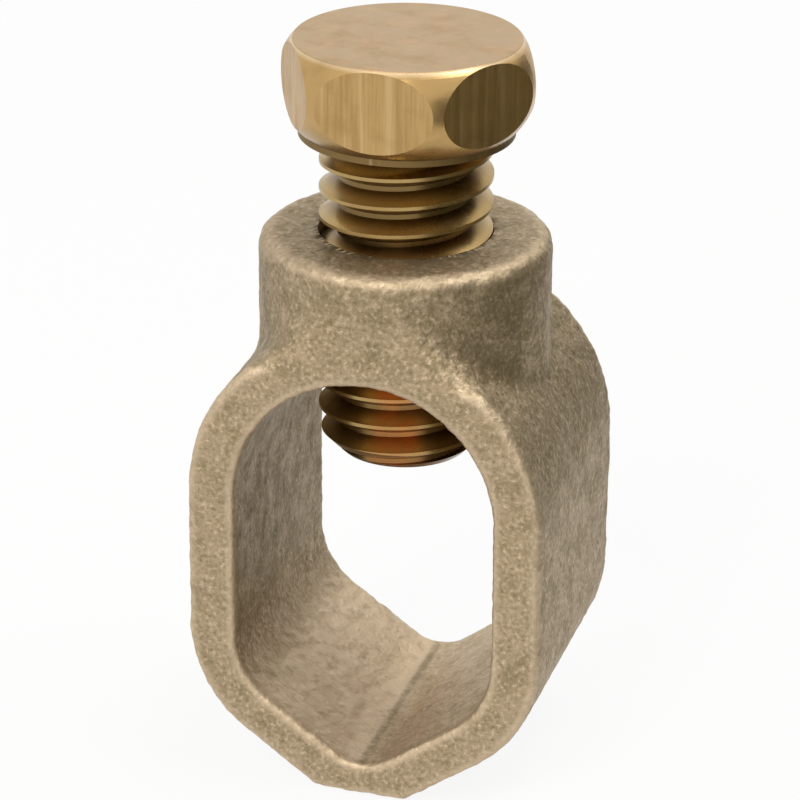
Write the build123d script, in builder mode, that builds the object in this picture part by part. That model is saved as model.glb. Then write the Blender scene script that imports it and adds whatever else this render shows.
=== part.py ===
"""Earth rod clamp: a cast bronze ring shaped like a slot, with a tapped boss and a hexagon-head clamping screw.

Axes: +Z runs up the screw, +Y runs along the earth rod towards the back, +X points to the right.
The origin is on the foot, under the middle of the clamp. Lengths are in millimetres, angles in degrees.
"""

from build123d import *
import math
import os

# Clamp body
rod_opening_width = 14.5  # clear width between the side walls
side_wall = 2.86  # thickness of each side wall
arch_centre_height = 17.5  # centre of the rounded top of the opening
seat_slope = 35.0  # slope of the two faces of the V seat
seat_floor_height = 1.52  # where the two seat faces would meet, above the foot
seat_wall = 2.72  # thickness of the wall under the seat faces
seat_root_radius = 2.5  # rounding at the bottom of the V seat
seat_corner_radius = 4.6  # rounding between a side wall and a seat face
lower_corner_radius = 7.9  # rounding of the lower corners of the outside
foot_corner_radius = 1.5  # rounding where the flat foot meets the sloping outside
cast_edge_radius = 0.5  # rounding of the outside edges of the casting
opening_edge_radius = 0.4  # rounding of the edges of the opening

# Boss that carries the screw
boss_diameter = 16.2
boss_height = 3.59  # above the top of the ring
boss_root_radius = 1.9  # fillet between the boss and the shoulders
face_stand_off = 0.04  # how far the front and back faces stand out beyond the boss
boss_rim_radius = 0.95  # rounding of the rim of the boss
bore_countersink = 0.2  # depth of the countersink at the mouth of the bore

# Clamping screw
thread_diameter = 9.525  # three eighths of an inch
thread_pitch = 1.5875  # sixteen threads to the inch
screw_length = 18.3  # under the head
head_gap = 5.5  # between the boss and the head, as drawn
tip_flat_radius = 3.6
tip_chamfer_height = 1.2
head_height = 5.3
head_across_flats = 12.5
head_top_radius = 6.15  # flat top of the head
head_shoulder_radius = 6.42  # barrel just under the rounded top edge
head_shoulder_drop = 0.3
head_waist_radius = 7.05  # widest part of the barrel that rounds the corners
head_waist_height = 2.75  # above the bearing face
head_bearing_radius = 5.9  # bearing face under the head
bearing_collar_height = 0.35  # plain collar between the bearing face and the barrel

# Fits
thread_running_clearance = 0.05  # radial, between the crests and the bore
trim_allowance = 0.3  # how far the trimming profile of the shank stands clear of the crests

half_opening = rod_opening_width / 2
half_width = half_opening + side_wall
slope = math.radians(seat_slope)
outer_floor_height = seat_floor_height - seat_wall / math.cos(slope)
body_depth = boss_diameter + 2 * face_stand_off
boss_top_height = arch_centre_height + half_width + boss_height
bore_radius = thread_diameter / 2 + thread_running_clearance
crest_radius = thread_diameter / 2
root_radius = crest_radius - 0.6134 * thread_pitch
head_seat_height = boss_top_height + head_gap
screw_tip_height = head_seat_height - screw_length
head_top_height = head_seat_height + head_height


def slot_sketch(half, floor, corner, root):
    """Draws a slot outline: an arch, two sides and two slopes. A floor below the foot is cut off flat."""
    side_foot = floor + half * math.tan(slope)
    flat_half = max(0, -floor) / math.tan(slope)
    lowest = max(0, floor)
    with BuildSketch(Plane.XZ) as outline:
        with BuildLine():
            Polyline((flat_half, lowest), (half, side_foot), (half, arch_centre_height))
            ThreePointArc(
                (half, arch_centre_height), (0, arch_centre_height + half), (-half, arch_centre_height)
            )
            Polyline((-half, arch_centre_height), (-half, side_foot), (-flat_half, lowest))
            if flat_half:
                Line((-flat_half, lowest), (flat_half, lowest))
        make_face()
        fillet(outline.vertices().filter_by_position(Axis.Y, side_foot - 0.01, side_foot + 0.01), corner)
        fillet(outline.vertices().filter_by_position(Axis.Y, lowest - 0.01, lowest + 0.01), root)
    return outline


def build_clamp_body():
    """Casts the ring and the boss as one piece, then opens the rod slot and the screw bore."""
    outside = slot_sketch(half_width, outer_floor_height, lower_corner_radius, foot_corner_radius)
    opening = slot_sketch(half_opening, seat_floor_height, seat_corner_radius, seat_root_radius)
    with BuildPart() as body:
        # The ring is cast too deep, so that the root of the boss is blended all round before it is faced.
        extrude(outside.sketch, body_depth, both=True)
        with BuildSketch(Plane.XY.offset(arch_centre_height)):
            Circle(boss_diameter / 2)
        extrude(amount=boss_top_height - arch_centre_height)
        fillet(body.edges().filter_by(GeomType.BSPLINE), boss_root_radius)
        with BuildSketch(Plane.YZ):
            with Locations((0, boss_top_height / 2)):
                Rectangle(body_depth, boss_top_height)
        extrude(amount=half_width, both=True, mode=Mode.INTERSECT)
        fillet(body.edges().filter_by(GeomType.CIRCLE).sort_by(Axis.Z)[-1], boss_rim_radius)
        fillet(body.faces().filter_by(Axis.Y).edges(), cast_edge_radius)
        extrude(opening.sketch, body_depth, both=True, mode=Mode.SUBTRACT)
        for face in body.faces().filter_by(Axis.Y):
            fillet(face.inner_wires().edges(), opening_edge_radius)
        with BuildSketch(Plane.XY.offset(arch_centre_height)):
            Circle(bore_radius)
        extrude(amount=boss_top_height - arch_centre_height, mode=Mode.SUBTRACT)
        mouth = body.edges().filter_by(GeomType.CIRCLE).filter_by_position(
            Axis.Z, boss_top_height - 0.01, boss_top_height + 0.01
        )
        chamfer(mouth.sort_by(SortBy.RADIUS)[0], bore_countersink)
    return body


def build_thread():
    """Winds one helical ridge, too long at both ends, to be trimmed with the shank."""
    run = screw_length + 2 * thread_pitch
    crest = thread_pitch / 16
    sunk_radius = root_radius - 0.2
    foot = crest + (crest_radius - sunk_radius) * math.tan(math.radians(30))
    with BuildPart() as ridge:
        with BuildLine() as path:
            Helix(thread_pitch, run, crest_radius)
        with BuildSketch(Plane.XZ):
            with BuildLine():
                Polyline(
                    (sunk_radius, -foot), (crest_radius, -crest), (crest_radius, crest), (sunk_radius, foot),
                    close=True,
                )
            make_face()
        sweep(path=path.line, is_frenet=True)
    return ridge


def build_hex_bolt():
    """Winds the thread on the shank, trims both ends, chamfers the tip and adds the head."""
    ridge = build_thread()
    trim_radius = crest_radius + trim_allowance
    chamfer_slope = tip_chamfer_height / (crest_radius - tip_flat_radius)
    trim_chamfer_height = chamfer_slope * (trim_radius - tip_flat_radius)
    shank_end_height = head_seat_height + bearing_collar_height
    with BuildPart() as bolt:
        with BuildSketch(Plane.XY.offset(screw_tip_height)):
            Circle(root_radius)
        extrude(amount=screw_length + 2 * bearing_collar_height)
        with Locations((0, 0, screw_tip_height - thread_pitch)):
            add(ridge.part)
        with BuildSketch(Plane.XZ):
            with BuildLine():
                Polyline(
                    (0, screw_tip_height),
                    (tip_flat_radius, screw_tip_height),
                    (trim_radius, screw_tip_height + trim_chamfer_height),
                    (trim_radius, shank_end_height),
                    (0, shank_end_height),
                    close=True,
                )
            make_face()
        revolve(axis=Axis.Z, mode=Mode.INTERSECT)
        add(build_head().part)
    return bolt


def build_head():
    """Turns the barrel of the head and cuts its six flats, one of them facing the front."""
    shoulder_height = head_top_height - head_shoulder_drop
    with BuildPart() as head:
        with BuildSketch(Plane.XZ):
            with BuildLine():
                Polyline(
                    (0, head_top_height),
                    (0, head_seat_height),
                    (head_bearing_radius, head_seat_height),
                    (head_bearing_radius, head_seat_height + bearing_collar_height),
                )
                ThreePointArc(
                    (head_bearing_radius, head_seat_height + bearing_collar_height),
                    (head_waist_radius, head_seat_height + head_waist_height),
                    (head_shoulder_radius, shoulder_height),
                )
                Polyline(
                    (head_shoulder_radius, shoulder_height),
                    (head_top_radius, head_top_height),
                    (0, head_top_height),
                )
            make_face()
        revolve(axis=Axis.Z)
        with BuildSketch(Plane.XY.offset(head_seat_height)):
            RegularPolygon(head_across_flats / 2, 6, major_radius=False)
        extrude(amount=head_height, mode=Mode.INTERSECT)
    return head


clamp_body = build_clamp_body()
hex_bolt = build_hex_bolt()
clamp_body.part.label = "clamp_body"
hex_bolt.part.label = "hex_bolt"
os.makedirs("parts", exist_ok=True)
export_step(clamp_body.part, "parts/clamp_body.step")
export_step(hex_bolt.part, "parts/hex_bolt.step")
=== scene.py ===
"""Looks of the earth rod clamp: finishes, stage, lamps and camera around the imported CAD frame."""

import logging
import math
from dataclasses import dataclass, field
from enum import Enum
from typing import Any

import bmesh
import bpy
import numpy as np
from mathutils import Matrix, Vector, noise


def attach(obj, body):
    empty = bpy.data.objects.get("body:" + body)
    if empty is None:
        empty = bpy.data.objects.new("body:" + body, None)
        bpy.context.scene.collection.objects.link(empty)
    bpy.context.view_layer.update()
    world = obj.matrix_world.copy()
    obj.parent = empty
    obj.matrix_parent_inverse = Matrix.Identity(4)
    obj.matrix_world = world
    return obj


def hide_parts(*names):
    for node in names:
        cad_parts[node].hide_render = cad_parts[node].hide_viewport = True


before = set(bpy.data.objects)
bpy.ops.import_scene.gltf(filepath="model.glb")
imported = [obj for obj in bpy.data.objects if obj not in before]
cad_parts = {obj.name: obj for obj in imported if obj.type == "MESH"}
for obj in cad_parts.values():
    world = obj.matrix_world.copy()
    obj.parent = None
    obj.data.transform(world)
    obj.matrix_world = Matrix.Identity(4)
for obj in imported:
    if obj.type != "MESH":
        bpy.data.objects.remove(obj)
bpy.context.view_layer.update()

LOG = logging.getLogger("earth_rod_clamp")
MM = 0.001
WEAR_AND_SHEEN = "wear_and_sheen"
PAINTED_SHADE = "painted_shade"

Colour = tuple[float, float, float]
Point = tuple[float, float, float]
Span = tuple[float, float]
Socket = bpy.types.NodeSocket

WHITE: Colour = (1.0, 1.0, 1.0)


class Node(Enum):
    """CAD nodes of the clamp."""

    BODY = "clamp_body"
    SCREW = "hex_bolt"


class Graph:
    """A small wrapper that adds nodes to one material or world and links them."""

    noise_roughness: float = 0.6

    def __init__(self, tree: bpy.types.NodeTree) -> None:
        """Clears the tree.

        Args:
            tree: the node tree of a material or of the world.
        """
        self.tree = tree
        tree.nodes.clear()

    def add(
        self, kind: str, inputs: dict[Any, Any] | None = None, **settings: Any
    ) -> bpy.types.Node:
        """Adds a node, sets its properties and fills or links its inputs.

        Args:
            kind: the node's type name.
            inputs: input name or index to a value, or to the socket that drives it.
            settings: properties of the node itself.

        Returns:
            The new node.
        """
        node = self.tree.nodes.new(kind)
        for name, value in settings.items():
            setattr(node, name, value)
        for key, value in (inputs or {}).items():
            self._fill(node.inputs[key], value)
        return node

    def _fill(self, socket: Socket, value: Any) -> None:
        """Links a socket or sets its value.

        Args:
            socket: the input.
            value: the value, or the socket that drives it.
        """
        if isinstance(value, Socket):
            self.tree.links.new(value, socket)
        else:
            socket.default_value = value

    def math(self, operation: str, first: Any, second: Any = 0.0) -> Socket:
        """Adds one Math node.

        Args:
            operation: the node's operation.
            first: first value or socket.
            second: second value or socket.

        Returns:
            The node's result.
        """
        return self.add("ShaderNodeMath", {0: first, 1: second}, operation=operation).outputs[0]

    def times(self, first: Any, *others: Any) -> Socket:
        """Multiplies values.

        Args:
            first: first value or socket.
            others: the other values or sockets.

        Returns:
            The product.
        """
        product = first
        for other in others:
            product = self.math("MULTIPLY", product, other)
        return product

    def noise(self, size: float, vector: Socket, detail: float) -> Socket:
        """Adds a noise whose features are about one size across.

        Args:
            size: width of a feature in metres.
            vector: where the noise is read.
            detail: number of finer layers.

        Returns:
            The noise's value, from 0 to 1.
        """
        inputs = {
            "Vector": vector,
            "Scale": 1.0 / size,
            "Detail": detail,
            "Roughness": self.noise_roughness,
        }
        return self.add("ShaderNodeTexNoise", inputs).outputs["Fac"]

    def ramp(self, value: Socket, start: Span, end: Span = (0.0, 1.0)) -> Socket:
        """Stretches a value from one span to another.

        Args:
            value: the value.
            start: the span that is read.
            end: what its two ends become.

        Returns:
            The stretched value, clamped.
        """
        inputs = {0: value, 1: start[0], 2: start[1], 3: end[0], 4: end[1]}
        return self.add("ShaderNodeMapRange", inputs).outputs[0]

    def layer(self, fac: Any, under: Any, over: Any) -> Socket:
        """Mixes two colours.

        Args:
            fac: how much of the upper colour shows.
            under: colour or socket below.
            over: colour or socket above.

        Returns:
            The mixed colour.
        """
        node = self.add("ShaderNodeMix", data_type="RGBA", blend_type="MIX")
        values = {"Factor_Float": fac, "A_Color": under, "B_Color": over}
        for socket in node.inputs:
            if socket.identifier in values:
                self._fill(socket, values[socket.identifier])
        return next(s for s in node.outputs if s.identifier == "Result_Color")

    def metal(self, colour: Socket, metallic: float, rough: Socket, bump: bpy.types.Node) -> None:
        """Ends the graph with a metal surface.

        Args:
            colour: its colour.
            metallic: how much of a metal it is.
            rough: its roughness.
            bump: the node that bends its normal.
        """
        inputs = {
            "Base Color": colour,
            "Metallic": metallic,
            "Roughness": rough,
            "Normal": bump.outputs["Normal"],
        }
        shader = self.add("ShaderNodeBsdfPrincipled", inputs)
        self.add("ShaderNodeOutputMaterial", {"Surface": shader.outputs["BSDF"]})

    def sees_open_view(self) -> Socket:
        """Tells the rays that look at the background from those that carry light.

        Returns:
            1 for a camera, glossy or transmission ray, and 0 for the others.
        """
        path = self.add("ShaderNodeLightPath").outputs
        seen = self.math("MAXIMUM", path["Is Camera Ray"], path["Is Glossy Ray"])
        return self.math("MAXIMUM", seen, path["Is Transmission Ray"])


def rgba(colour: Colour) -> tuple[float, float, float, float]:
    """Adds full opacity to a colour.

    Args:
        colour: red, green and blue, linear.

    Returns:
        The colour with alpha 1.
    """
    return (*colour, 1.0)


def new_material(name: str) -> tuple[bpy.types.Material, Graph]:
    """Makes an empty material.

    Args:
        name: its name.

    Returns:
        The material and its graph.
    """
    material = bpy.data.materials.new(name)
    material.use_nodes = True
    return material, Graph(material.node_tree)


@dataclass(frozen=True)
class CastBronze:
    """Matte, grainy, slightly tarnished casting skin, darkened by painted shade, with edges and
    seat rubbed bright and lit further by painted highlights.
    """

    name: str = "cast_bronze"
    colour: Colour = (0.44, 0.335, 0.212)
    tarnish: Colour = (0.225, 0.180, 0.086)
    bright: Colour = (0.69, 0.545, 0.375)
    painted_shade: Colour = (0.112, 0.084, 0.030)
    grain_size: float = 0.26 * MM
    grain_detail: float = 4.0
    patch_size: float = 1.3 * MM
    patch_detail: float = 3.0
    pit_ratio: float = 3.0
    pit_detail: float = 2.0
    pit_share: float = 0.8
    patch_span: Span = (0.42, 0.72)
    bright_span: Span = (0.52, 0.72)
    dark_span: Span = (0.47, 0.27)
    wear_and_sheen_span: Span = (0.10, 0.46)
    patch_strength: float = 0.55
    wear_and_sheen_strength: float = 0.90
    painted_shade_strength: float = 0.75
    bump_strength: float = 1.0
    grain_depth: float = 0.06 * MM
    rough_span: Span = (0.3, 0.7)
    roughness: Span = (0.46, 0.62)
    metallic: float = 0.88

    def build(self) -> bpy.types.Material:
        """Makes the material.

        Returns:
            The material.
        """
        material, graph = new_material(self.name)
        place = graph.add("ShaderNodeTexCoord").outputs["Object"]
        grain = graph.noise(self.grain_size, place, self.grain_detail)
        patch = graph.noise(self.patch_size, place, self.patch_detail)
        pits = graph.noise(self.grain_size * self.pit_ratio, place, self.pit_detail)
        # The skin's two point attributes: painted shade, and rubbed bright metal with painted
        # highlights and painted light.
        dirt = graph.add("ShaderNodeAttribute", attribute_name=PAINTED_SHADE).outputs["Fac"]
        wear_and_sheen_mask = graph.add("ShaderNodeAttribute", attribute_name=WEAR_AND_SHEEN).outputs["Fac"]
        wear_and_sheen_mask = graph.times(wear_and_sheen_mask, graph.ramp(pits, self.wear_and_sheen_span))
        colour: Any = rgba(self.colour)
        for mask, strength, over in (
            (graph.ramp(patch, self.patch_span), self.patch_strength, self.tarnish),
            (graph.ramp(grain, self.bright_span), 1.0, self.bright),
            (graph.ramp(grain, self.dark_span), 1.0, self.tarnish),
            # painted shade from the skin's shade attribute
            (dirt, self.painted_shade_strength, self.painted_shade),
            # rubbed bright metal with painted highlights and painted light, broken into speckles by
            # the pits
            (wear_and_sheen_mask, self.wear_and_sheen_strength, self.bright),
        ):
            colour = graph.layer(graph.times(mask, strength), colour, rgba(over))
        relief = graph.math("ADD", grain, graph.times(pits, self.pit_share))
        sizes = {"Strength": self.bump_strength, "Distance": self.grain_depth}
        bump = graph.add("ShaderNodeBump", {"Height": relief, **sizes})
        rough = graph.ramp(patch, self.rough_span, self.roughness)
        graph.metal(colour, self.metallic, rough, bump)
        return material


@dataclass(frozen=True)
class ScrewShape:
    """Where the parts of the screw lie, in its own frame."""

    thread_top: float = 37.1 * MM
    head_seat: float = 36.7 * MM
    head_top: float = 41.95 * MM
    shade_span: Span = (38.7 * MM, 37.2 * MM)
    rim_span: Span = (41.74 * MM, 41.92 * MM)
    root_span: Span = (4.51 * MM, 3.94 * MM)
    collar_start: float = 4.95 * MM
    flat_turns: tuple[float, float, float] = (30.0, 90.0, 150.0)
    flat_match: float = 0.9985
    copper_way: Span = (0.985, 0.17)
    copper_span: Span = (2.0 * MM, 0.7 * MM)
    copper_top: float = 25.0 * MM


@dataclass
class ScrewMasks:
    """Masks that are 1 on one part of the screw and 0 elsewhere."""

    flats: Socket
    top: Socket
    thread: Socket
    root: Socket
    collar: Socket
    shade: Socket
    rim: Socket
    copper: Socket


@dataclass(frozen=True)
class MachinedBronze:
    """Golden, slightly dull screw metal, with upright draw marks on the flats of the head, painted
    shade in the thread's roots, under the head and on its lower edge, and a painted highlight on
    the rim of its top.
    """

    name: str = "bolt_bronze"
    colour: Colour = (0.52, 0.335, 0.135)
    dull: Colour = (0.47, 0.335, 0.185)
    stain: Colour = (0.33, 0.20, 0.075)
    thread: Colour = (0.43, 0.295, 0.118)
    painted_shade: Colour = (0.15, 0.094, 0.036)
    shade: Colour = (0.235, 0.155, 0.06)
    bright: Colour = (0.78, 0.60, 0.37)
    warm: Colour = (0.60, 0.37, 0.19)
    copper: Colour = (0.62, 0.20, 0.05)
    dull_strength: float = 0.8
    root_strength: float = 0.8
    collar_strength: float = 0.75
    shade_strength: float = 0.65
    rim_strength: float = 0.75
    warm_strength: float = 0.55
    copper_strength: float = 0.5
    cloud_strength: float = 0.45
    dark_mark_strength: float = 0.48
    light_mark_strength: float = 0.24
    mark_width: float = 0.40 * MM
    mark_length: float = 9.0 * MM
    cloud_size: float = 2.2 * MM
    detail: float = 4.0
    spot_ratio: float = 0.6
    spot_detail: float = 5.0
    warm_span: Span = (0.48, 0.66)
    copper_span: Span = (0.30, 0.60)
    cloud_span: Span = (0.5, 0.75)
    dark_mark_span: Span = (0.49, 0.63)
    light_mark_span: Span = (0.46, 0.36)
    rough_span: Span = (0.3, 0.7)
    roughness: Span = (0.22, 0.36)
    flat_roughness: float = 0.10
    collar_roughness: float = 0.25
    bump_strength: float = 0.35
    relief_depth: float = 0.02 * MM
    metallic: float = 1.0
    shape: ScrewShape = ScrewShape()

    def _flat_mask(self, graph: Graph, normal: Socket, height: Socket) -> Socket:
        """Finds the six flats of the head by the way they face.

        Args:
            graph: the material's graph.
            normal: the surface's normal in the piece's own frame.
            height: the point's height.

        Returns:
            1 on a flat and 0 elsewhere.
        """
        best: Any = 0.0
        for turn in self.shape.flat_turns:
            way = (math.cos(math.radians(turn)), math.sin(math.radians(turn)), 0.0)
            inputs = {0: normal, 1: way}
            dot = graph.add("ShaderNodeVectorMath", inputs, operation="DOT_PRODUCT")
            best = graph.math("MAXIMUM", best, graph.math("ABSOLUTE", dot.outputs["Value"]))
        facing = graph.math("GREATER_THAN", best, self.shape.flat_match)
        return graph.times(facing, graph.math("GREATER_THAN", height, self.shape.head_seat))

    def _copper_mask(self, graph: Graph, parts: bpy.types.Node) -> Socket:
        """Finds the front of the thread's lower end, where the reddish stain is.

        Args:
            graph: the material's graph.
            parts: the place, split into its three parts.

        Returns:
            1 in the middle of the stain, falling to 0 beside it.
        """
        along_x, along_y = self.shape.copper_way
        aside = graph.times(parts.outputs["X"], along_x)
        aside = graph.math("ADD", aside, graph.times(parts.outputs["Y"], along_y))
        return graph.times(
            graph.ramp(graph.math("ABSOLUTE", aside), self.shape.copper_span),
            graph.math("LESS_THAN", parts.outputs["Y"], 0.0),
            graph.math("LESS_THAN", parts.outputs["Z"], self.shape.copper_top),
        )

    def _masks(self, graph: Graph, place: Socket, normal: Socket) -> ScrewMasks:
        """Finds the parts of the screw.

        Args:
            graph: the material's graph.
            place: the point in the piece's own frame.
            normal: the surface's normal there.

        Returns:
            The masks.
        """
        shape = self.shape
        parts = graph.add("ShaderNodeSeparateXYZ", {0: place})
        height = parts.outputs["Z"]
        squares = [graph.math("POWER", parts.outputs[axis], 2.0) for axis in ("X", "Y")]
        across = graph.math("SQRT", graph.math("ADD", *squares))
        flats = self._flat_mask(graph, normal, height)
        top = graph.math("GREATER_THAN", height, shape.head_top)
        thread = graph.math("LESS_THAN", height, shape.thread_top)
        rounded = graph.math("MAXIMUM", flats, graph.math("MAXIMUM", thread, top))
        rounded = graph.math("SUBTRACT", 1.0, rounded)
        return ScrewMasks(
            flats=flats,
            top=top,
            thread=thread,
            root=graph.times(graph.ramp(across, shape.root_span), thread),
            collar=graph.times(thread, graph.math("GREATER_THAN", across, shape.collar_start)),
            shade=graph.times(graph.ramp(height, shape.shade_span), rounded),
            rim=graph.times(graph.ramp(height, shape.rim_span), rounded),
            copper=self._copper_mask(graph, parts),
        )

    def build(self) -> bpy.types.Material:
        """Makes the material.

        Returns:
            The material.
        """
        material, graph = new_material(self.name)
        coordinates = graph.add("ShaderNodeTexCoord")
        place = coordinates.outputs["Object"]
        masks = self._masks(graph, place, coordinates.outputs["Normal"])
        squash = {0: place, 1: (1.0, 1.0, self.mark_width / self.mark_length)}
        drawn = graph.add("ShaderNodeVectorMath", squash, operation="MULTIPLY").outputs[0]
        marks = graph.noise(self.mark_width, drawn, self.detail)
        clouds = graph.noise(self.cloud_size, place, self.detail)
        spots = graph.noise(self.cloud_size * self.spot_ratio, place, self.spot_detail)
        warm = graph.times(masks.top, graph.ramp(spots, self.warm_span))
        copper = graph.times(masks.copper, graph.ramp(spots, self.copper_span))
        dark_marks = graph.times(masks.flats, graph.ramp(marks, self.dark_mark_span))
        light_marks = graph.times(masks.flats, graph.ramp(marks, self.light_mark_span))
        colour: Any = rgba(self.colour)
        for mask, strength, over in (
            (masks.top, self.dull_strength, self.dull),
            (masks.thread, 1.0, self.thread),
            # Painted shade in the roots of the thread.
            (masks.root, self.root_strength, self.painted_shade),
            # Painted shade on the collar under the head.
            (masks.collar, self.collar_strength, self.painted_shade),
            (masks.shade, self.shade_strength, self.shade),
            # Painted highlight along the rim of the head's top.
            (masks.rim, self.rim_strength, self.bright),
            (warm, self.warm_strength, self.warm),
            (copper, self.copper_strength, self.copper),
            (graph.ramp(clouds, self.cloud_span), self.cloud_strength, self.stain),
            (dark_marks, self.dark_mark_strength, self.stain),
            (light_marks, self.light_mark_strength, self.bright),
        ):
            colour = graph.layer(graph.times(mask, strength), colour, rgba(over))
        even = graph.math("MAXIMUM", masks.flats, masks.top)
        rough = graph.ramp(clouds, self.rough_span, self.roughness)
        rough = graph.math("ADD", rough, graph.times(even, self.flat_roughness))
        rough = graph.math("ADD", rough, graph.times(masks.collar, self.collar_roughness))
        relief = graph.math("ADD", graph.times(marks, masks.flats), clouds)
        relief = graph.math("ADD", relief, graph.times(spots, masks.top))
        sizes = {"Strength": self.bump_strength, "Distance": self.relief_depth}
        bump = graph.add("ShaderNodeBump", {"Height": relief, **sizes})
        graph.metal(colour, self.metallic, rough, bump)
        return material


@dataclass(frozen=True)
class PaleFloor:
    """Pale floor that reads white in open view and keeps the shadow."""

    name: str = "pale_floor"
    colour: Colour = (0.90, 0.90, 0.895)
    lift: float = 0.90

    def build(self) -> bpy.types.Material:
        """Makes the material.

        Returns:
            The material.
        """
        material, graph = new_material(self.name)
        share = graph.times(graph.sees_open_view(), self.lift)
        matte = graph.add("ShaderNodeBsdfDiffuse", {"Color": rgba(self.colour)}).outputs[0]
        glow = {"Color": rgba(WHITE), "Strength": 1.0}
        white = graph.add("ShaderNodeEmission", glow).outputs[0]
        mix = graph.add("ShaderNodeMixShader", {0: share, 1: matte, 2: white})
        graph.add("ShaderNodeOutputMaterial", {"Surface": mix.outputs[0]})
        return material


@dataclass(frozen=True)
class DarkCard:
    """Dark matte card that the side of a shiny piece mirrors."""

    name: str = "dark_card"
    colour: Colour = (0.19, 0.18, 0.13)

    def build(self) -> bpy.types.Material:
        """Makes the material.

        Returns:
            The material.
        """
        material, graph = new_material(self.name)
        matte = graph.add("ShaderNodeBsdfDiffuse", {"Color": rgba(self.colour)}).outputs[0]
        graph.add("ShaderNodeOutputMaterial", {"Surface": matte})
        return material


def stretch(values: np.ndarray, span: Span) -> np.ndarray:
    """Stretches values so that the span reads 0 to 1.

    Args:
        values: the values.
        span: what reads 0 and what reads 1.

    Returns:
        The stretched values, clamped.
    """
    start, end = span
    return ((values - start) / (end - start)).clip(0.0, 1.0)


def rectangle(name: str, corners: list[Point], material: bpy.types.Material) -> bpy.types.Object:
    """Makes a flat four-cornered piece of stage.

    Args:
        name: the object's name.
        corners: its corners in order, in metres.
        material: its material.

    Returns:
        The object.
    """
    mesh = bpy.data.meshes.new(name)
    mesh.from_pydata(corners, [], [tuple(range(len(corners)))])
    mesh.materials.append(material)
    thing = bpy.data.objects.new(name, mesh)
    bpy.context.scene.collection.objects.link(thing)
    return thing


@dataclass(frozen=True)
class Grain:
    """Relief of the cast skin. Lengths are in mm."""

    coarse_size: float = 0.62
    coarse_share: float = 0.6
    fine_size: float = 0.33
    fine_share: float = 0.4
    depth: float = 0.075
    swell_size: float = 3.4
    swell_depth: float = 0.07


@dataclass(frozen=True)
class Hood:
    """Where the front and back faces fade into the boss. Lengths are in mm."""

    low: float = 25.2
    high: float = 30.6
    half_width: float = 7.0
    front: float = 5.5
    smoothing: int = 40

    def holds(self, place: Vector) -> bool:
        """Tells whether a point is in the hood.

        Args:
            place: the point.

        Returns:
            True in the hood.
        """
        beside = abs(place.x) < self.half_width and abs(place.y) > self.front
        return self.low < place.z < self.high and beside


@dataclass(frozen=True)
class Bore:
    """The bore in the boss. Lengths are in mm."""

    radius: float = 4.82
    reach: float = 5.05
    keep: float = 5.5
    low: float = 22.0
    top: float = 31.2
    mouth_depth: float = 0.25
    rim_drop: float = 0.05


@dataclass(frozen=True)
class WearAndSheen:
    """What rubs bright, and where highlights, light and shade are painted with it. Lengths are in
    mm.
    """

    edge_span: Span = (0.0045, 0.011)
    edge_share: float = 0.7
    seat_span: Span = (9.5, 7.5)
    seat_facing: Span = (0.3, 0.7)
    seat_share: float = 0.95
    # Painted shade: how much less the seat's flank at positive x is brightened.
    far_flank: float = 0.5
    # The crease along the bottom of the seat, which takes painted shade.
    crease_top: float = 6.5
    crease_facing: float = 0.5
    crease_width: float = 0.17


@dataclass(frozen=True)
class Dirt:
    """Where shade is painted on the cast skin: in hollows, along the crease of the seat, around the
    screw under its head, on the inner walls and on the boss. Lengths are in mm.
    """

    # Painted shade in the hollows.
    hollow_span: Span = (0.002, 0.008)
    hollow_share: float = 0.6
    # Ring of painted shade on the boss top around the screw, under its head.
    under_head_radius: float = 6.4
    under_head_depth: float = 0.6
    spot_mean: float = 0.6
    spot_swing: float = 0.9
    # Painted shade on the inner walls and on the top of the boss.
    wall_facing: Span = (0.45, 0.8)
    wall_span: Span = (7.5, 9.5)
    wall_half_width: float = 7.5
    wall_reach: float = 11.0
    wall_share: float = 0.45
    boss_span: Span = (26.5, 28.5)
    boss_share: float = 0.24
    shade_swing: float = 0.5
    cloud_size: float = 0.9


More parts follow.
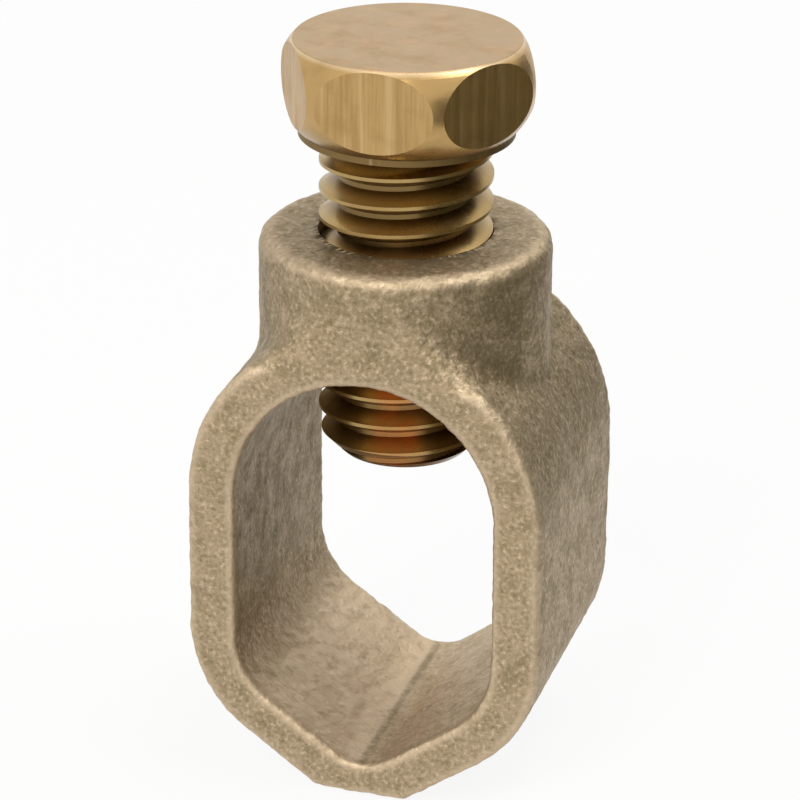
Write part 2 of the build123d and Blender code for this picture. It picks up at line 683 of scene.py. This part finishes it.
@dataclass
class Casting:
    """The cast body with its grainy skin, softened edges, corners rubbed bright under a painted
    highlight, and painted shade. Lengths are in mm.
    """

    name: str = "clamp_casting"
    voxel: float = 0.2
    weld: float = 0.0005
    smoothing: int = 3
    smooth_share: float = 0.5
    bulge_smoothing: int = 3
    grain: Grain = Grain()
    hood: Hood = Hood()
    bore: Bore = Bore()
    wear_and_sheen: WearAndSheen = WearAndSheen()
    dirt: Dirt = Dirt()
    finish: CastBronze = CastBronze()

    def build(self) -> None:
        """Makes the skin and puts it in the place of the plain casting."""
        mesh = self._remeshed(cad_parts[Node.BODY.value].data)
        self._soften(mesh)
        points, normals = self._read(mesh)
        bulge = self._bulge(mesh, points, normals)
        # Two point attributes: rubbed bright metal with painted highlights and painted light, and
        # painted shade.
        for name, values in (
            (WEAR_AND_SHEEN, self._worn_and_lit(points, normals, bulge)),
            (PAINTED_SHADE, self._shaded(points, normals, bulge)),
        ):
            attribute = mesh.attributes.new(name, "FLOAT", "POINT")
            attribute.data.foreach_set("value", values.astype(np.float32))
        points = self._clear_bore(self._grained(points, normals))
        mesh.vertices.foreach_set("co", (points * MM).astype(np.float32).ravel())
        mesh.polygons.foreach_set("use_smooth", np.ones(len(mesh.polygons), dtype=bool))
        mesh.materials.clear()
        mesh.materials.append(self.finish.build())
        mesh.update()
        skin = bpy.data.objects.new(self.name, mesh)
        bpy.context.scene.collection.objects.link(skin)
        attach(skin, Node.BODY.value)
        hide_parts(Node.BODY.value)
        LOG.info("%s: %d faces", self.name, len(mesh.polygons))

    def _remeshed(self, source: bpy.types.Mesh) -> bpy.types.Mesh:
        """Turns the plain mesh into an even grid of faces, in millimetres.

        Args:
            source: the plain casting's mesh, in metres.

        Returns:
            The even mesh.
        """
        work = bmesh.new()
        work.from_mesh(source)
        bmesh.ops.scale(work, vec=(1.0 / MM,) * 3, verts=work.verts)
        bmesh.ops.remove_doubles(work, verts=work.verts, dist=self.weld)
        plain = bpy.data.meshes.new("casting_plain")
        work.to_mesh(plain)
        work.free()
        holder = bpy.data.objects.new("casting_plain", plain)
        bpy.context.scene.collection.objects.link(holder)
        remesh = holder.modifiers.new("grid", "REMESH")
        remesh.mode = "VOXEL"
        remesh.voxel_size = self.voxel
        graph = bpy.context.evaluated_depsgraph_get()
        mesh = bpy.data.meshes.new_from_object(holder.evaluated_get(graph))
        mesh.name = self.name
        bpy.data.objects.remove(holder)
        bpy.data.meshes.remove(plain)
        return mesh

    def _soften(self, mesh: bpy.types.Mesh) -> None:
        """Rounds the whole skin a little, and strongly in the hood.

        Args:
            mesh: the skin, in millimetres.
        """
        bore = self.bore
        work = bmesh.new()
        work.from_mesh(mesh)
        hood = [v for v in work.verts if self.hood.holds(v.co)]
        free = [
            v for v in work.verts if math.hypot(v.co.x, v.co.y) > bore.keep or v.co.z < bore.low
        ]
        axes = {"use_axis_x": True, "use_axis_y": True, "use_axis_z": True}
        for verts, times in ((hood, self.hood.smoothing), (free, self.smoothing)):
            for _ in range(times):
                bmesh.ops.smooth_vert(work, verts=verts, factor=self.smooth_share, **axes)
        work.to_mesh(mesh)
        work.free()

    @staticmethod
    def _read(mesh: bpy.types.Mesh) -> tuple[np.ndarray, np.ndarray]:
        """Reads a mesh's points and normals.

        Args:
            mesh: the mesh.

        Returns:
            The points and the normals, one row each.
        """
        count = len(mesh.vertices)
        points = np.empty(count * 3, dtype=np.float32)
        normals = np.empty(count * 3, dtype=np.float32)
        mesh.vertices.foreach_get("co", points)
        mesh.vertices.foreach_get("normal", normals)
        return points.reshape(-1, 3).astype(float), normals.reshape(-1, 3).astype(float)

    def _bulge(self, mesh: bpy.types.Mesh, points: np.ndarray, normals: np.ndarray) -> np.ndarray:
        """Measures how far each point stands out of its neighbours.

        Args:
            mesh: the skin, for its edges.
            points: its points.
            normals: its normals.

        Returns:
            The distance at each point: above 0 on an edge, below 0 in a hollow.
        """
        ends = np.empty(len(mesh.edges) * 2, dtype=np.int32)
        mesh.edges.foreach_get("vertices", ends)
        first, second = ends.reshape(-1, 2).T
        degree = np.bincount(ends, minlength=len(points)).clip(1)

        def around(values: np.ndarray) -> np.ndarray:
            """Averages the values of each point's neighbours.

            Args:
                values: one value or one row for each point.

            Returns:
                The averages.
            """
            total = np.zeros_like(values)
            np.add.at(total, first, values[second])
            np.add.at(total, second, values[first])
            return total / (degree[:, None] if values.ndim > 1 else degree)

        bulge = ((points - around(points)) * normals).sum(axis=1)
        for _ in range(self.bulge_smoothing):
            bulge = 0.5 * bulge + 0.5 * around(bulge)
        return bulge

    def _worn_and_lit(self, points: np.ndarray, normals: np.ndarray, bulge: np.ndarray) -> np.ndarray:
        """Finds what shows bright: the edges, rubbed and with a painted highlight, and the seat
        that bears on the rod, rubbed and with painted light, its flank at positive x kept darker as
        painted shade.

        Args:
            points: the skin's points.
            normals: its normals.
            bulge: how far each point stands out.

        Returns:
            Rubbed brightness with painted highlight and painted light, from 0 to 1 for each point.
        """
        wear_and_sheen, bore = self.wear_and_sheen, self.bore
        # Convex edges rubbed bright, with a painted highlight.
        edges = wear_and_sheen.edge_share * stretch(bulge, wear_and_sheen.edge_span)
        # The seat that bears on the rod, rubbed bright and brightened further as painted light.
        seat = wear_and_sheen.seat_share * stretch(points[:, 2], wear_and_sheen.seat_span)
        seat *= stretch(normals[:, 2], wear_and_sheen.seat_facing)
        # Painted shade: the seat's flank at positive x is brightened less.
        seat *= 1.0 - wear_and_sheen.far_flank * stretch(points[:, 0], (0.0, wear_and_sheen.crease_width))
        # The crease keeps its painted shade and is not brightened.
        seat *= 1.0 - self._crease(points, normals)
        across = np.hypot(points[:, 0], points[:, 1])
        mouth = (across < bore.keep) & (points[:, 2] > bore.low)
        return np.where(mouth, 0.0, np.maximum(edges, seat))

    def _crease(self, points: np.ndarray, normals: np.ndarray) -> np.ndarray:
        """Finds the crease along the bottom of the seat, where shade is painted.

        Args:
            points: the skin's points.
            normals: its normals.

        Returns:
            1 on the crease, falling to 0 beside it.
        """
        wear_and_sheen = self.wear_and_sheen
        on_seat = (points[:, 2] < wear_and_sheen.crease_top) & (normals[:, 2] > wear_and_sheen.crease_facing)
        return np.exp(-((points[:, 0] / wear_and_sheen.crease_width) ** 2)) * on_seat

    def _shaded(self, points: np.ndarray, normals: np.ndarray, bulge: np.ndarray) -> np.ndarray:
        """Paints shade: in hollows and along the crease of the seat, around the screw under its
        head, on the inner walls and on the boss.

        Args:
            points: the skin's points.
            normals: its normals.
            bulge: how far each point stands out.

        Returns:
            Dirt from 0 to 1 for each point.
        """
        dirt, bore = self.dirt, self.bore
        cloud = np.array([noise.noise(Vector(point) / dirt.cloud_size) for point in points])
        across = np.hypot(points[:, 0], points[:, 1])
        # Painted shade in the hollows, darker the deeper a point lies.
        hollow = dirt.hollow_share * stretch(-bulge, dirt.hollow_span)
        # Painted shade on the boss top around the screw, under its head.
        under_head = stretch(across, (dirt.under_head_radius, bore.radius))
        under_head *= points[:, 2] > bore.top - dirt.under_head_depth
        # The painted shade of the crease and of the ring under the head, made patchy.
        spotted = np.maximum(self._crease(points, normals), under_head)
        spotted *= dirt.spot_mean + dirt.spot_swing * cloud
        # Painted shade on the inner walls of the opening.
        walls = stretch(np.abs(normals[:, 0]), dirt.wall_facing)
        walls *= stretch(points[:, 2], dirt.wall_span)
        walls *= (np.abs(points[:, 0]) < dirt.wall_half_width) & (across < dirt.wall_reach)
        # Painted shade on the upper boss.
        boss = dirt.boss_share * stretch(points[:, 2], dirt.boss_span)
        # Walls and boss together: painted shade, made patchy.
        dull = np.maximum(dirt.wall_share * walls, boss) * (1.0 + dirt.shade_swing * cloud)
        return np.maximum(np.maximum(hollow, spotted), dull).clip(0.0, 1.0)

    def _grained(self, points: np.ndarray, normals: np.ndarray) -> np.ndarray:
        """Sinks the skin by an uneven amount, never outwards, for the grain of a sand casting.

        Args:
            points: the skin's points.
            normals: its normals.

        Returns:
            The sunk points.
        """
        grain = self.grain
        depth = np.empty(len(points))
        for i, point in enumerate(points):
            place = Vector(point)
            rough = grain.coarse_share * noise.noise(place / grain.coarse_size)
            rough += grain.fine_share * noise.noise(place / grain.fine_size)
            swell = 0.5 + 0.5 * noise.noise(place / grain.swell_size)
            depth[i] = grain.depth * (0.5 + rough) + grain.swell_depth * swell
        return points - normals * depth.clip(0.0)[:, None]

    def _clear_bore(self, points: np.ndarray) -> np.ndarray:
        """Keeps the bore round, crisp at its mouth and clear of the screw.

        Args:
            points: the skin's points.

        Returns:
            The points, with those of the bore on its wall and those of its mouth on the rim.
        """
        bore = self.bore
        across = np.hypot(points[:, 0], points[:, 1])
        near = (across < bore.reach) & (points[:, 2] > bore.low)
        grow = np.where(near, bore.radius / across.clip(0.1), 1.0)
        points[:, 0] *= grow
        points[:, 1] *= grow
        mouth = near & (points[:, 2] > bore.top - bore.mouth_depth)
        points[mouth, 2] = bore.top - bore.rim_drop
        return points


@dataclass
class Screw:
    """The clamping screw, with its machined finish."""

    finish: MachinedBronze = MachinedBronze()

    def build(self) -> None:
        """Gives the screw its finish."""
        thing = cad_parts[Node.SCREW.value]
        thing.data.materials.clear()
        thing.data.materials.append(self.finish.build())
        LOG.info("hex_bolt: finish %s", self.finish.name)


@dataclass
class Stage:
    """Pale floor, and a dark card beside the clamp."""

    reach: float = 1.5
    card_distance: float = 52 * MM
    card_near: float = -70 * MM
    card_far: float = 110 * MM
    card_foot: float = 0.5 * MM
    card_top: float = 60 * MM

    def build(self) -> None:
        """Makes the floor and the card."""
        far = self.reach
        square = [(-far, -far, 0.0), (far, -far, 0.0), (far, far, 0.0), (-far, far, 0.0)]
        rectangle("floor", square, PaleFloor().build())
        x, near, back = self.card_distance, self.card_near, self.card_far
        foot, top = self.card_foot, self.card_top
        upright = [(x, near, foot), (x, back, foot), (x, back, top), (x, near, top)]
        card = rectangle("side_card", upright, DarkCard().build())
        card.visible_camera = False
        card.visible_shadow = False
        LOG.info("stage ready")


@dataclass(frozen=True)
class Lamp:
    """One soft square lamp."""

    name: str
    place: Point
    size: float
    power: float
    colour: Colour = WHITE
    target: Point = (0.0, 0.0, 0.021)

    def build(self) -> None:
        """Makes the lamp and points it at the clamp."""
        data = bpy.data.lights.new(self.name, "AREA")
        data.shape = "SQUARE"
        data.size = self.size
        data.energy = self.power
        data.color = self.colour
        lamp = bpy.data.objects.new(self.name, data)
        lamp.location = self.place
        away = Vector(self.place) - Vector(self.target)
        lamp.rotation_euler = away.to_track_quat("Z", "Y").to_euler()
        bpy.context.scene.collection.objects.link(lamp)


@dataclass
class Studio:
    """World light and lamps."""

    ambient: float = 0.50
    lamps: list[Lamp] = field(
        default_factory=lambda: [
            Lamp("key", (-0.08, -0.36, 0.33), 0.20, 1.00, (1.0, 0.97, 0.93)),
            Lamp("top", (0.15, 0.06, 0.40), 0.25, 0.70),
        ]
    )

    def build(self) -> None:
        """Sets the world and the lamps."""
        world = bpy.data.worlds.new("studio")
        world.use_nodes = True
        bpy.context.scene.world = world
        graph = Graph(world.node_tree)
        level = graph.ramp(graph.sees_open_view(), (0.0, 1.0), (self.ambient, 1.0))
        light = graph.add("ShaderNodeBackground", {"Color": rgba(WHITE), "Strength": level})
        graph.add("ShaderNodeOutputWorld", {"Surface": light.outputs[0]})
        for lamp in self.lamps:
            lamp.build()
        LOG.info("studio ready with %d lamps", len(self.lamps))


@dataclass(frozen=True)
class Viewpoint:
    """Long-lens camera in front, to the right and above."""

    azimuth: float = 16.625
    elevation: float = 23.385
    roll: float = 0.501
    distance: float = 0.199
    aim: Point = (-0.000235, -0.00007, 0.020884)
    lens: float = 160.83
    sensor: float = 36.0
    clip: Span = (0.01, 10.0)

    def build(self) -> bpy.types.Object:
        """Makes the camera and makes it the scene's own.

        Returns:
            The camera.
        """
        turn, rise = math.radians(self.azimuth), math.radians(self.elevation)
        level = math.cos(rise)
        back = Vector((math.sin(turn) * level, -math.cos(turn) * level, math.sin(rise)))
        right = Vector((0.0, 0.0, 1.0)).cross(back).normalized()
        up = back.cross(right)
        tilt = math.radians(self.roll)
        across = right * math.cos(tilt) + up * math.sin(tilt)
        upright = up * math.cos(tilt) - right * math.sin(tilt)
        data = bpy.data.cameras.new("camera")
        data.lens = self.lens
        data.sensor_width = self.sensor
        data.clip_start, data.clip_end = self.clip
        camera = bpy.data.objects.new("camera", data)
        turned = Matrix((across, upright, back)).transposed().to_4x4()
        place = Vector(self.aim) + back * self.distance
        camera.matrix_world = Matrix.Translation(place) @ turned
        bpy.context.scene.collection.objects.link(camera)
        bpy.context.scene.camera = camera
        return camera


def main() -> None:
    """Builds the whole scene in order."""
    logging.basicConfig(level=logging.INFO)
    bpy.context.scene.view_settings.view_transform = "Standard"
    Casting().build()
    Screw().build()
    Stage().build()
    Studio().build()
    Viewpoint().build()
    bpy.context.view_layer.update()
    LOG.info("scene built")


if __name__ == "__main__":
    main()
